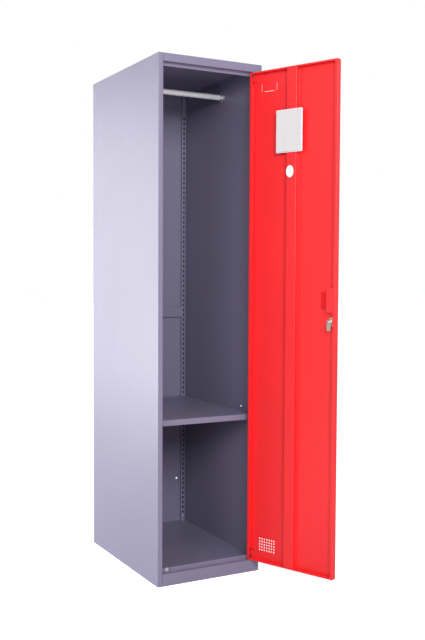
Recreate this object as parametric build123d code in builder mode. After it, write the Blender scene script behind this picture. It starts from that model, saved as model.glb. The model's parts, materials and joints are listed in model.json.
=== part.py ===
"""School locker: a folded-steel cabinet with one full-height door, a shelf and a hanging rail.

Millimetres, +Z up. The origin is the centre of the base at floor level, the door is at the front (-Y)
and is hung on the right (+X). The door stands open by DOOR_OPEN degrees, which is the rest position.
"""

import math
import os

from build123d import *

os.makedirs("parts", exist_ok=True)

# ---------------------------------------------------------------- driving dimensions
WIDTH = 400
DEPTH = 600
HEIGHT = 1800
SHEET = 1.0  # steel sheet
BEND = 1.5  # radius of a fold, on the middle of the sheet
ROUND = 1.0  # radius of a softened edge

JAMB = 17.5  # width of the folded front edge of a side panel
HEADER = 27  # height of the front rail under the roof
PLINTH = 42  # height of the front rail at the floor, and of the floor itself
STEP = 21.5  # the doorway's stop lips stand this far behind the front
HEADER_LIP = 11
PLINTH_LIP = 14
REAR_FLANGE = 15

UPRIGHT_WIDTH = 18  # rear slotted upright
UPRIGHT_DEPTH = 11
SLOT_WIDTH = 7
SLOT_HEIGHT = 11
SLOT_PITCH = 20
SLOT_COUNT = 82
FIRST_SLOT = 79  # height of the lowest slot's centre

BAND_Z = (891, 932)  # bottom and top of the back cross rail

SHELF_TOP = 564
SHELF_FLANGE = 20
SHELF_SETBACK = 39  # shelf's front edge behind the cabinet's front
SHELF_GAP = 1.0  # clearance to the walls and to the rear uprights

RAIL_RADIUS = 10
RAIL_HEIGHT = 1735
RAIL_SETBACK = 288  # behind the cabinet's front

DOOR_OPEN = 112.0  # degrees from closed
DOOR_THICK = 19
DOOR_GAP = 2.5  # to each jamb
DOOR_GAP_Z = 2.0  # to the header and the plinth
DOOR_LIP = 10.5  # inward lips of the two long edges
DOOR_END_LIP = 6.0  # inward lips at the top and the bottom
PIVOT_IN = 11.0  # pivot axis, inside the right jamb's edge
PIVOT_BACK = 6.0  # pivot axis, behind the front
PIN_RADIUS = 3.0
PIN_FIT = 0.06  # radial clearance of the pins in their bushes

STIFFENER_U = 177  # along the door from its hinge edge
STIFFENER_FACE = 41
STIFFENER_BRIM = 12
MIRROR_U = 170
MIRROR_Z = 1554
MIRROR_WIDTH = 106
MIRROR_HEIGHT = 145
DISC_U = 172.5
DISC_Z = 1417
DISC_WIDTH = 29
DISC_HEIGHT = 41

CUP_U = (292, 322, 348)  # hinge end of the ramp, start and end of the deep pocket
CUP_RAMP_Z = (952, 1008)
CUP_POCKET_Z = (940, 1023)
CUP_DEPTH = 16

LOCK_U = 338
LOCK_Z = 909
BARREL_RADIUS = 9.5
PLUG_RADIUS = 6.5
PLUG_FIT = 0.08
CAM_REACH = 29
CAM_WIDTH = 15
CAM_THICK = 2
CAM_DEPTH = 23.5  # the cam's front face, behind the door's outer face

# ---------------------------------------------------------------- derived places
HALF_T = SHEET / 2
SIDE = WIDTH / 2
FRONT = -DEPTH / 2
BACK = DEPTH / 2
WALL = SIDE - SHEET  # inner face of a side panel
JAMB_EDGE = SIDE - JAMB
LIP_Y = FRONT + STEP  # front face of the stop lips
ROOF = HEIGHT - SHEET  # underside of the roof sheet
SOFFIT = HEIGHT - HEADER
PANEL_Y = BACK - 2 * SHEET  # front face of the back panels
UPRIGHT_Y = PANEL_Y - UPRIGHT_DEPTH  # front face of the rear uprights
UPRIGHT_EDGE = WALL - UPRIGHT_WIDTH
SIDES = (("left", -1), ("right", 1))

PIVOT = Vector(JAMB_EDGE - PIVOT_IN, FRONT + PIVOT_BACK, 0)
DOOR_WIDTH = 2 * (JAMB_EDGE - DOOR_GAP)
DOOR_BOTTOM = PLINTH + DOOR_GAP_Z
DOOR_TOP = SOFFIT - DOOR_GAP_Z
PIVOT_U = PIVOT_IN - DOOR_GAP

# Door axes: ALONG runs from the hinge edge to the free edge, INWARD from the outer face to the inside.
ANGLE = math.radians(DOOR_OPEN)
ALONG = Vector(-math.cos(ANGLE), -math.sin(ANGLE), 0)
INWARD = Vector(-math.sin(ANGLE), math.cos(ANGLE), 0)
DOOR_ORIGIN = PIVOT - ALONG * PIVOT_U - INWARD * PIVOT_BACK

# On door_face a point is (along, up) and the normal points inward; on door_plan it is (along, -depth).
door_face = Plane(origin=DOOR_ORIGIN, x_dir=ALONG, z_dir=INWARD)


def door_plan(height):
    """Level plane at a height, for sections of the door: (along, -depth)."""
    return Plane(origin=DOOR_ORIGIN + Vector(0, 0, height), x_dir=ALONG, z_dir=(0, 0, 1))


def door_section(along):
    """Upright plane across the door: (depth, up), with its normal pointing to the hinge."""
    return Plane(origin=DOOR_ORIGIN + ALONG * along, x_dir=INWARD, z_dir=-ALONG)


def folded_sheet(*points):
    """Section of a folded sheet whose middle line runs through the points."""
    with BuildLine() as middle:
        FilletPolyline(*points, radius=BEND)
    trace(middle.line, line_width=SHEET)


def slots(plane, along, count=SLOT_COUNT):
    """Shelf slots up an upright, cut through a web that lies in the plane."""
    middle = FIRST_SLOT + (count - 1) * SLOT_PITCH / 2
    with BuildSketch(plane) as row:
        with Locations((along, middle)):
            with GridLocations(SLOT_WIDTH, SLOT_PITCH, 1, count):
                Rectangle(SLOT_WIDTH, SLOT_HEIGHT)
    extrude(row.sketch, amount=3 * SHEET, both=True, mode=Mode.SUBTRACT)


# ---------------------------------------------------------------- cabinet: side panels
GANGING_Y = FRONT + 130  # hole in the right panel for a bolt to the next locker
GANGING_Z = 580
FIXING_RADIUS = 3.5

for side, sign in SIDES:
    with BuildPart() as side_panel:
        with BuildSketch(Plane.XY):
            folded_sheet(
                (sign * (JAMB_EDGE + HALF_T), LIP_Y + SHEET),
                (sign * (JAMB_EDGE + HALF_T), FRONT + HALF_T),
                (sign * (SIDE - HALF_T), FRONT + HALF_T),
                (sign * (SIDE - HALF_T), BACK - HALF_T),
                (sign * (SIDE - REAR_FLANGE), BACK - HALF_T),
            )
        extrude(amount=ROOF)
        if side == "right":
            with BuildSketch(Plane.YZ.offset(WALL)):
                with Locations((GANGING_Y, GANGING_Z)):
                    Circle(FIXING_RADIUS)
            extrude(amount=2 * SHEET, both=True, mode=Mode.SUBTRACT)
    side_panel.part.label = f"{side}_side_panel"
    export_step(side_panel.part, f"parts/{side_panel.part.label}.step")

# ---------------------------------------------------------------- cabinet: roof and floor
ROOF_FLANGE = 14
ROOF_CORNER = 2

with BuildPart() as roof_panel:
    with BuildSketch(Plane.XY.offset(ROOF)):
        RectangleRounded(WIDTH, DEPTH, ROOF_CORNER)
    extrude(amount=SHEET)
    with BuildSketch(Plane.XY.offset(ROOF - ROOF_FLANGE)):
        with Locations((-WALL + HALF_T, 0), (WALL - HALF_T, 0)):
            Rectangle(SHEET, 2 * (UPRIGHT_Y - SHEET))
    extrude(amount=ROOF_FLANGE)
roof_panel.part.label = "roof_panel"
export_step(roof_panel.part, "parts/roof_panel.step")

FLOOR_FRONT = LIP_Y + SHEET
FLOOR_UPSTAND = 20

with BuildPart() as floor_panel:
    with BuildSketch(Plane.XY):
        with Locations((0, (FLOOR_FRONT + PANEL_Y) / 2)):
            Rectangle(2 * WALL, PANEL_Y - FLOOR_FRONT)
    extrude(amount=PLINTH)
    underside = floor_panel.faces().sort_by(Axis.Z)[0]
    offset(amount=-SHEET, openings=underside, kind=Kind.INTERSECTION)
    with BuildSketch(Plane.XY.offset(PLINTH)):
        with Locations((0, PANEL_Y - HALF_T)):
            Rectangle(2 * UPRIGHT_EDGE, SHEET)
    extrude(amount=FLOOR_UPSTAND)
floor_panel.part.label = "floor_panel"
export_step(floor_panel.part, "parts/floor_panel.step")

# ---------------------------------------------------------------- cabinet: doorway rails
BUSH_RADIUS = 4.5
LIP_HOLE_X = 142.5
LIP_HOLE_Z = 48
LIP_HOLE_RADIUS = 2.5
doorway_end = Plane.YZ.offset(-JAMB_EDGE)

with BuildPart() as header_rail:
    with BuildSketch(doorway_end):
        folded_sheet(
            (FRONT + HALF_T, ROOF),
            (FRONT + HALF_T, SOFFIT + HALF_T),
            (LIP_Y + HALF_T, SOFFIT + HALF_T),
            (LIP_Y + HALF_T, SOFFIT - HEADER_LIP),
        )
    extrude(amount=2 * JAMB_EDGE)
    with BuildSketch(Plane.XY.offset(SOFFIT)):
        with Locations((PIVOT.X, PIVOT.Y)):
            Circle(BUSH_RADIUS)
    extrude(amount=2 * SHEET, both=True, mode=Mode.SUBTRACT)
header_rail.part.label = "header_rail"
export_step(header_rail.part, "parts/header_rail.step")

with BuildPart() as plinth_rail:
    with BuildSketch(doorway_end):
        folded_sheet(
            (FRONT + HALF_T, 0),
            (FRONT + HALF_T, PLINTH - HALF_T),
            (LIP_Y + HALF_T, PLINTH - HALF_T),
            (LIP_Y + HALF_T, PLINTH + PLINTH_LIP),
        )
    extrude(amount=2 * JAMB_EDGE)
    with BuildSketch(Plane.XY.offset(PLINTH)):
        with Locations((PIVOT.X, PIVOT.Y)):
            Circle(BUSH_RADIUS)
    extrude(amount=2 * SHEET, both=True, mode=Mode.SUBTRACT)
    with BuildSketch(Plane.XZ.offset(-LIP_Y)):
        with Locations((-LIP_HOLE_X, LIP_HOLE_Z), (LIP_HOLE_X, LIP_HOLE_Z)):
            Circle(LIP_HOLE_RADIUS)
    extrude(amount=2 * SHEET, both=True, mode=Mode.SUBTRACT)
plinth_rail.part.label = "plinth_rail"
export_step(plinth_rail.part, "parts/plinth_rail.step")

# ---------------------------------------------------------------- cabinet: back
BACK_JOINT = sum(BAND_Z) / 2
BACK_WIDTH = 2 * (WALL - SHEET)  # inside the rear folds of the side panels
FIXING_X = 165
FIXING_Z = 220.5

with BuildPart() as lower_back_panel:
    with BuildSketch(Plane.XZ.offset(-PANEL_Y)):
        with Locations((0, BACK_JOINT / 2)):
            Rectangle(BACK_WIDTH, BACK_JOINT)
        with Locations((-FIXING_X, FIXING_Z), (FIXING_X, FIXING_Z)):
            Circle(FIXING_RADIUS, mode=Mode.SUBTRACT)
    extrude(amount=-SHEET)
lower_back_panel.part.label = "lower_back_panel"
export_step(lower_back_panel.part, "parts/lower_back_panel.step")

with BuildPart() as upper_back_panel:
    with BuildSketch(Plane.XZ.offset(-PANEL_Y)):
        with Locations((0, (BACK_JOINT + ROOF) / 2)):
            Rectangle(BACK_WIDTH, ROOF - BACK_JOINT)
    extrude(amount=-SHEET)
upper_back_panel.part.label = "upper_back_panel"
export_step(upper_back_panel.part, "parts/upper_back_panel.step")

with BuildPart() as back_cross_rail:
    with BuildSketch(Plane.YZ.offset(-UPRIGHT_EDGE)):
        folded_sheet(
            (PANEL_Y, BAND_Z[0] + HALF_T),
            (UPRIGHT_Y + HALF_T, BAND_Z[0] + HALF_T),
            (UPRIGHT_Y + HALF_T, BAND_Z[1] - HALF_T),
            (PANEL_Y, BAND_Z[1] - HALF_T),
        )
    extrude(amount=2 * UPRIGHT_EDGE)
back_cross_rail.part.label = "back_cross_rail"
export_step(back_cross_rail.part, "parts/back_cross_rail.step")

# ---------------------------------------------------------------- cabinet: slotted uprights
UPRIGHT_X = WALL - UPRIGHT_WIDTH / 2
JAMB_WEB_X = (JAMB_EDGE + SHEET + WALL) / 2
FRONT_FLANGE = 12
FOOT_SCREW_Z = 63.5
SCREW_SHANK = 2.0

for side, sign in SIDES:
    with BuildPart() as rear_upright:
        with BuildSketch(Plane.XY.offset(PLINTH)):
            folded_sheet(
                (sign * (UPRIGHT_EDGE + HALF_T), PANEL_Y),
                (sign * (UPRIGHT_EDGE + HALF_T), UPRIGHT_Y + HALF_T),
                (sign * (WALL - HALF_T), UPRIGHT_Y + HALF_T),
                (sign * (WALL - HALF_T), PANEL_Y),
            )
        extrude(amount=ROOF - PLINTH)
        slots(Plane.XZ.offset(-UPRIGHT_Y), sign * UPRIGHT_X)
        with BuildSketch(Plane.XZ.offset(-UPRIGHT_Y)):
            with Locations((sign * UPRIGHT_X, FOOT_SCREW_Z)):
                Circle(SCREW_SHANK)
        extrude(amount=2 * SHEET, both=True, mode=Mode.SUBTRACT)
    rear_upright.part.label = f"rear_upright_{side}"
    export_step(rear_upright.part, f"parts/{rear_upright.part.label}.step")

    with BuildPart() as front_upright:
        with BuildSketch(Plane.XY.offset(PLINTH)):
            folded_sheet(
                (sign * (JAMB_EDGE + SHEET), LIP_Y + HALF_T),
                (sign * (WALL - HALF_T), LIP_Y + HALF_T),
                (sign * (WALL - HALF_T), LIP_Y + FRONT_FLANGE),
            )
        extrude(amount=ROOF - ROOF_FLANGE - PLINTH)
        slots(Plane.XZ.offset(-LIP_Y), sign * JAMB_WEB_X)
    front_upright.part.label = f"front_upright_{side}"
    export_step(front_upright.part, f"parts/{front_upright.part.label}.step")

# ---------------------------------------------------------------- cabinet: hanging rail
RAIL_Y = FRONT + RAIL_SETBACK
RAIL_WALL = 1.2
SOCKET_RADIUS = 21
SOCKET_FLANGE = 2
SOCKET_COLLAR = 13
SOCKET_LENGTH = 11
SOCKET_SCREW = 17.2  # from the rail's axis to each screw

with BuildPart() as hanging_rail:
    with BuildSketch(Plane.YZ.offset(-WALL)):
        with Locations((RAIL_Y, RAIL_HEIGHT)):
            Circle(RAIL_RADIUS)
            Circle(RAIL_RADIUS - RAIL_WALL, mode=Mode.SUBTRACT)
    extrude(amount=2 * WALL)
hanging_rail.part.label = "hanging_rail"
export_step(hanging_rail.part, "parts/hanging_rail.step")

for side, sign in SIDES:
    with BuildPart() as rail_socket:
        with BuildSketch(Plane.YZ.offset(sign * WALL)):
            with Locations((RAIL_Y, RAIL_HEIGHT)):
                Circle(SOCKET_RADIUS)
                Circle(RAIL_RADIUS, mode=Mode.SUBTRACT)
                with GridLocations(0, 2 * SOCKET_SCREW, 1, 2):
                    Circle(SCREW_SHANK, mode=Mode.SUBTRACT)
        extrude(amount=-sign * SOCKET_FLANGE)
        with BuildSketch(Plane.YZ.offset(sign * WALL)):
            with Locations((RAIL_Y, RAIL_HEIGHT)):
                Circle(SOCKET_COLLAR)
                Circle(RAIL_RADIUS, mode=Mode.SUBTRACT)
        extrude(amount=-sign * SOCKET_LENGTH)
        mouth = rail_socket.faces().sort_by(Axis((0, 0, 0), (-sign, 0, 0)))[-1]
        fillet(mouth.edges().sort_by(SortBy.RADIUS)[-1], ROUND)
    rail_socket.part.label = f"rail_socket_{side}"
    export_step(rail_socket.part, f"parts/{rail_socket.part.label}.step")


def screw(seat, outward, across, head_radius, head_height, grip, shank=SCREW_SHANK):
    """Domed head on its seat with a shank of length grip behind it, added to the open part."""
    section = Plane(origin=seat, x_dir=across, z_dir=Vector(across).cross(Vector(outward)))
    dome_radius = (head_radius**2 + head_height**2) / (2 * head_height)
    with BuildSketch(section) as half:
        with BuildLine() as outline:
            Polyline((0, head_height), (0, -grip), (shank, -grip), (shank, 0), (head_radius, 0))
            RadiusArc((head_radius, 0), (0, head_height), -dome_radius)
        make_face(outline.edges())
    revolve(half.sketch, axis=Axis(seat, outward))


HEAD_RADIUS = 3.6
HEAD_HEIGHT = 1.8

with BuildPart() as rail_socket_screws:
    for sign in (-1, 1):
        for end in (-1, 1):
            seat = (sign * (WALL - SOCKET_FLANGE), RAIL_Y, RAIL_HEIGHT + end * SOCKET_SCREW)
            screw(seat, (-sign, 0, 0), (0, 1, 0), HEAD_RADIUS, HEAD_HEIGHT, SOCKET_FLANGE)
rail_socket_screws.part.label = "rail_socket_screws"
export_step(rail_socket_screws.part, "parts/rail_socket_screws.step")

# ---------------------------------------------------------------- cabinet: small pieces
FOOT_SCREW_GRIP = 6
BUSH_BORE = PIN_RADIUS + PIN_FIT
BUSH_FLANGE_RADIUS = 5.5
BUSH_LENGTH = 5
HEADER_BUSH_FLANGE = 1.0
PLINTH_BUSH_FLANGE = 1.8

with BuildPart() as upright_screws:
    for sign in (-1, 1):
        seat = (sign * UPRIGHT_X, UPRIGHT_Y, FOOT_SCREW_Z)
        screw(seat, (0, -1, 0), (1, 0, 0), HEAD_RADIUS, HEAD_HEIGHT, FOOT_SCREW_GRIP)
upright_screws.part.label = "upright_screws"
export_step(upright_screws.part, "parts/upright_screws.step")


def bush(face_height, flange, upward):
    """Flanged bush in a doorway rail: its flange stands on the rail's face, towards the door."""
    with BuildSketch(Plane.XY.offset(face_height)) as body:
        with Locations((PIVOT.X, PIVOT.Y)):
            Circle(BUSH_RADIUS)
            Circle(BUSH_BORE, mode=Mode.SUBTRACT)
    extrude(body.sketch, amount=-upward * BUSH_LENGTH)
    with BuildSketch(Plane.XY.offset(face_height)) as collar:
        with Locations((PIVOT.X, PIVOT.Y)):
            Circle(BUSH_FLANGE_RADIUS)
            Circle(BUSH_BORE, mode=Mode.SUBTRACT)
    extrude(collar.sketch, amount=upward * flange)


with BuildPart() as header_hinge_bush:
    bush(SOFFIT, HEADER_BUSH_FLANGE, upward=-1)
header_hinge_bush.part.label = "header_hinge_bush"
export_step(header_hinge_bush.part, "parts/header_hinge_bush.step")

with BuildPart() as plinth_hinge_bush:
    bush(PLINTH, PLINTH_BUSH_FLANGE, upward=1)
plinth_hinge_bush.part.label = "plinth_hinge_bush"
export_step(plinth_hinge_bush.part, "parts/plinth_hinge_bush.step")

BUFFER_X = -157
BUFFER_RADIUS = 7
BUFFER_Z = PLINTH + SHEET + BUFFER_RADIUS
BUFFER_THICK = 2.2

with BuildPart() as door_buffer:
    with BuildSketch(Plane.XZ.offset(-LIP_Y)):
        with Locations((BUFFER_X, BUFFER_Z)):
            Circle(BUFFER_RADIUS)
    extrude(amount=BUFFER_THICK)
    fillet(door_buffer.faces().sort_by(Axis.Y)[0].edges(), ROUND)
door_buffer.part.label = "door_buffer"
export_step(door_buffer.part, "parts/door_buffer.step")

# ---------------------------------------------------------------- shelf and its clips
SHELF_WIDTH = 2 * (WALL - SHELF_GAP)
SHELF_FRONT = FRONT + SHELF_SETBACK
SHELF_REAR = UPRIGHT_Y - SHELF_GAP
SHELF_BOTTOM = SHELF_TOP - SHELF_FLANGE
SHELF_HEM = 8
CLIP_WIDTH = 4.4
CLIP_THICK = 2
CLIP_TONGUE = 15
CLIP_BACK = 4  # the hook's far side, behind the web's face
CLIP_HOOK = 13
CLIP_LEG = 14
HEM_INSET = 3

with BuildPart() as shelf:
    with BuildSketch(Plane.XY.offset(SHELF_BOTTOM)):
        with Locations((0, (SHELF_FRONT + SHELF_REAR) / 2)):
            Rectangle(SHELF_WIDTH, SHELF_REAR - SHELF_FRONT)
    extrude(amount=SHELF_FLANGE)
    folds = shelf.edges().group_by(Axis.Z)[-1] + shelf.edges().filter_by(Axis.Z)
    fillet(folds, BEND + HALF_T)
    underside = shelf.faces().sort_by(Axis.Z)[0]
    offset(amount=-SHEET, openings=underside)
    with BuildSketch(Plane.XY.offset(SHELF_BOTTOM)):
        with Locations((0, SHELF_FRONT + SHEET + SHELF_HEM / 2)):
            Rectangle(SHELF_WIDTH - 2 * HEM_INSET, SHELF_HEM)
    extrude(amount=SHEET)
shelf.part.label = "shelf"
export_step(shelf.part, "parts/shelf.step")


def shelf_clip(along, web_face, inward, tongue):
    """Bent clip in a slot: a tongue under the shelf, a leg down the web and a hook behind it."""
    tongue_base = SHELF_BOTTOM - CLIP_THICK
    with BuildSketch(Plane.YZ.offset(along - CLIP_WIDTH / 2)) as side_view:
        with BuildLine() as outline:
            Polyline(
                (web_face + inward * tongue, SHELF_BOTTOM),
                (web_face - inward * CLIP_BACK, SHELF_BOTTOM),
                (web_face - inward * CLIP_BACK, SHELF_BOTTOM - CLIP_HOOK),
                (web_face - inward * (CLIP_BACK - CLIP_THICK), SHELF_BOTTOM - CLIP_HOOK),
                (web_face - inward * (CLIP_BACK - CLIP_THICK), tongue_base),
                (web_face, tongue_base),
                (web_face, SHELF_BOTTOM - CLIP_LEG),
                (web_face + inward * CLIP_THICK, SHELF_BOTTOM - CLIP_LEG),
                (web_face + inward * CLIP_THICK, tongue_base),
                (web_face + inward * tongue, tongue_base),
                close=True,
            )
        make_face(outline.edges())
    extrude(side_view.sketch, amount=CLIP_WIDTH)


with BuildPart() as shelf_clips_rear:
    for sign in (-1, 1):
        shelf_clip(sign * UPRIGHT_X, UPRIGHT_Y, -1, CLIP_TONGUE)
shelf_clips_rear.part.label = "shelf_clips_rear"
export_step(shelf_clips_rear.part, "parts/shelf_clips_rear.step")

with BuildPart() as shelf_clips_front:
    for sign in (-1, 1):
        shelf_clip(sign * JAMB_WEB_X, LIP_Y + SHEET, 1, SHELF_FRONT - LIP_Y + SHELF_HEM)
shelf_clips_front.part.label = "shelf_clips_front"
export_step(shelf_clips_front.part, "parts/shelf_clips_front.step")

# ---------------------------------------------------------------- door panel
VENT_U = 75
VENT_Z = 104.5
VENT_PITCH = (10.4, 10)
VENT_COUNT = (7, 5)
VENT_RADIUS = 2.8
CARD_U = 72
CARD_Z = 1702
CARD_WIDTH = 64
CARD_HEIGHT = 26
CARD_FOOT = 42
CARD_SLIT = 1.6
END_RELIEF = 2.5  # the top and bottom folds stop short of the corners
END_LAP = 7.5  # the end folds overlap the skin by this much
WINDOW_LAP = 16  # the handle's opening runs this far into the deep pocket
WINDOW_CORNER = 4

with BuildPart() as door_panel:
    with BuildSketch(door_plan(DOOR_BOTTOM + END_RELIEF)):
        folded_sheet(
            (DOOR_LIP, -DOOR_THICK + HALF_T),
            (HALF_T, -DOOR_THICK + HALF_T),
            (HALF_T, -HALF_T),
            (DOOR_WIDTH - HALF_T, -HALF_T),
            (DOOR_WIDTH - HALF_T, -DOOR_THICK + HALF_T),
            (DOOR_WIDTH - DOOR_LIP, -DOOR_THICK + HALF_T),
        )
    extrude(amount=DOOR_TOP - DOOR_BOTTOM - 2 * END_RELIEF)
    for edge, toward in ((DOOR_TOP, -1), (DOOR_BOTTOM, 1)):
        with BuildSketch(door_section(END_RELIEF)):
            folded_sheet(
                (HALF_T, edge + toward * END_LAP),
                (HALF_T, edge + toward * HALF_T),
                (DOOR_THICK - HALF_T, edge + toward * HALF_T),
                (DOOR_THICK - HALF_T, edge + toward * DOOR_END_LIP),
            )
        extrude(amount=-(DOOR_WIDTH - 2 * END_RELIEF))
    with BuildSketch(door_face):
        with Locations((VENT_U, VENT_Z)):
            with GridLocations(*VENT_PITCH, *VENT_COUNT):
                Circle(VENT_RADIUS)
        with Locations((CARD_U, CARD_Z)):
            Rectangle(CARD_FOOT, CARD_SLIT)
        with Locations((CARD_U - CARD_WIDTH / 2, CARD_Z), (CARD_U + CARD_WIDTH / 2, CARD_Z)):
            Rectangle(CARD_SLIT, CARD_HEIGHT, align=(Align.CENTER, Align.MIN))
        with Locations(((CUP_U[0] + CUP_U[1] + WINDOW_LAP) / 2, sum(CUP_RAMP_Z) / 2)):
            RectangleRounded(
                CUP_U[1] - CUP_U[0] + WINDOW_LAP, CUP_RAMP_Z[1] - CUP_RAMP_Z[0], WINDOW_CORNER
            )
        with Locations((LOCK_U, LOCK_Z)):
            Circle(BARREL_RADIUS)
    extrude(amount=2 * SHEET, both=True, mode=Mode.SUBTRACT)
    for face_height in (DOOR_TOP, DOOR_BOTTOM):
        with BuildSketch(Plane.XY.offset(face_height)):
            with Locations((PIVOT.X, PIVOT.Y)):
                Circle(PIN_RADIUS)
        extrude(amount=2 * SHEET, both=True, mode=Mode.SUBTRACT)
door_panel.part.label = "door_panel"
export_step(door_panel.part, "parts/door_panel.step")

# ---------------------------------------------------------------- door: stiffener and handle cup
LIP_CLEARANCE = 0.5
STIFFENER_TOP = DOOR_THICK - SHEET - LIP_CLEARANCE  # its face, under the end lips

with BuildPart() as door_stiffener:
    half_face = STIFFENER_FACE / 2 - HALF_T
    with BuildSketch(door_plan(DOOR_BOTTOM + 2 * SHEET)):
        folded_sheet(
            (STIFFENER_U - half_face - STIFFENER_BRIM, -SHEET - HALF_T),
            (STIFFENER_U - half_face, -SHEET - HALF_T),
            (STIFFENER_U - half_face, -STIFFENER_TOP + HALF_T),
            (STIFFENER_U + half_face, -STIFFENER_TOP + HALF_T),
            (STIFFENER_U + half_face, -SHEET - HALF_T),
            (STIFFENER_U + half_face + STIFFENER_BRIM, -SHEET - HALF_T),
        )
    extrude(amount=DOOR_TOP - DOOR_BOTTOM - 4 * SHEET)
door_stiffener.part.label = "door_stiffener"
export_step(door_stiffener.part, "parts/door_stiffener.step")

RAMP_DEPTH = 14
POCKET_CORNER = 3
POCKET_CENTRE = ((CUP_U[1] + CUP_U[2]) / 2, sum(CUP_POCKET_Z) / 2)
POCKET_SIZE = (CUP_U[2] - CUP_U[1], CUP_POCKET_Z[1] - CUP_POCKET_Z[0])


def cup_ramp(wall):
    """The cup's ramp, with a wall taken off all round: rising from the hinge end to the pocket."""
    with BuildSketch(door_plan(CUP_RAMP_Z[0] + wall)) as wedge:
        with BuildLine() as outline:
            Polyline(
                (CUP_U[0] + 2 * wall, -SHEET),
                (CUP_U[1] + SHEET, -SHEET),
                (CUP_U[1] + SHEET, -RAMP_DEPTH + wall),
                (CUP_U[1], -RAMP_DEPTH + wall),
                close=True,
            )
        make_face(outline.edges())
    return wedge.sketch


with BuildPart() as handle_cup:
    extrude(cup_ramp(0), amount=CUP_RAMP_Z[1] - CUP_RAMP_Z[0])
    with BuildSketch(door_face.offset(SHEET)):
        with Locations(POCKET_CENTRE):
            RectangleRounded(*POCKET_SIZE, POCKET_CORNER)
    extrude(amount=CUP_DEPTH)
    deepest = handle_cup.faces().sort_by(Axis(DOOR_ORIGIN, INWARD))[-1]
    fillet(deepest.edges(), BEND)
    extrude(cup_ramp(SHEET), amount=CUP_RAMP_Z[1] - CUP_RAMP_Z[0] - 2 * SHEET, mode=Mode.SUBTRACT)
    with BuildSketch(door_face.offset(SHEET)):
        with Locations(POCKET_CENTRE):
            RectangleRounded(
                POCKET_SIZE[0] - 2 * SHEET, POCKET_SIZE[1] - 2 * SHEET, POCKET_CORNER - SHEET
            )
    extrude(amount=CUP_DEPTH - SHEET, mode=Mode.SUBTRACT)
handle_cup.part.label = "handle_cup"
export_step(handle_cup.part, "parts/handle_cup.step")

# ---------------------------------------------------------------- door: mirror and disc
MIRROR_HOLDER = 4.5
MIRROR_RIM = 2
MIRROR_GLASS = 3
MIRROR_CORNER = 2
HOLDER_FACE = STIFFENER_TOP + MIRROR_HOLDER

with BuildPart() as mirror_holder:
    with BuildSketch(door_face.offset(STIFFENER_TOP)):
        with Locations((MIRROR_U, MIRROR_Z)):
            RectangleRounded(MIRROR_WIDTH, MIRROR_HEIGHT, MIRROR_CORNER)
    extrude(amount=MIRROR_HOLDER)
    with BuildSketch(door_face.offset(HOLDER_FACE)):
        with Locations((MIRROR_U, MIRROR_Z)):
            Rectangle(MIRROR_WIDTH - 2 * MIRROR_RIM, MIRROR_HEIGHT - 2 * MIRROR_RIM)
    extrude(amount=-MIRROR_GLASS, mode=Mode.SUBTRACT)
mirror_holder.part.label = "mirror_holder"
export_step(mirror_holder.part, "parts/mirror_holder.step")

with BuildPart() as mirror_glass:
    with BuildSketch(door_face.offset(HOLDER_FACE - MIRROR_GLASS)):
        with Locations((MIRROR_U, MIRROR_Z)):
            Rectangle(MIRROR_WIDTH - 2 * MIRROR_RIM, MIRROR_HEIGHT - 2 * MIRROR_RIM)
    extrude(amount=MIRROR_GLASS)
mirror_glass.part.label = "mirror_glass"
export_step(mirror_glass.part, "parts/mirror_glass.step")

DISC_THICK = 3

with BuildPart() as number_disc:
    with BuildSketch(door_face.offset(STIFFENER_TOP)):
        with Locations((DISC_U, DISC_Z)):
            Ellipse(DISC_WIDTH / 2, DISC_HEIGHT / 2)
    extrude(amount=DISC_THICK)
    fillet(number_disc.faces().sort_by(Axis(DOOR_ORIGIN, INWARD))[-1].edges(), ROUND)
number_disc.part.label = "number_disc"
export_step(number_disc.part, "parts/number_disc.step")

# ---------------------------------------------------------------- door: hinges
HINGE_PLATE = 2.5
HINGE_REACH = 40  # along the door
HINGE_SHELF = 16  # depth of the plate's level leaf
HINGE_TAB = 40  # height of its upright leaf
RIVET_U = (6, 17)
RIVET_DROP = 34
PIN_INSIDE = 14  # length of a pin inside the door
PIN_OUTSIDE = 5.5  # length of a pin outside the door
RIVET_RADIUS = 1.6
RIVET_HEAD = 2.8
RIVET_DOME = 1.3
PIN_CHAMFER = 0.5

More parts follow.
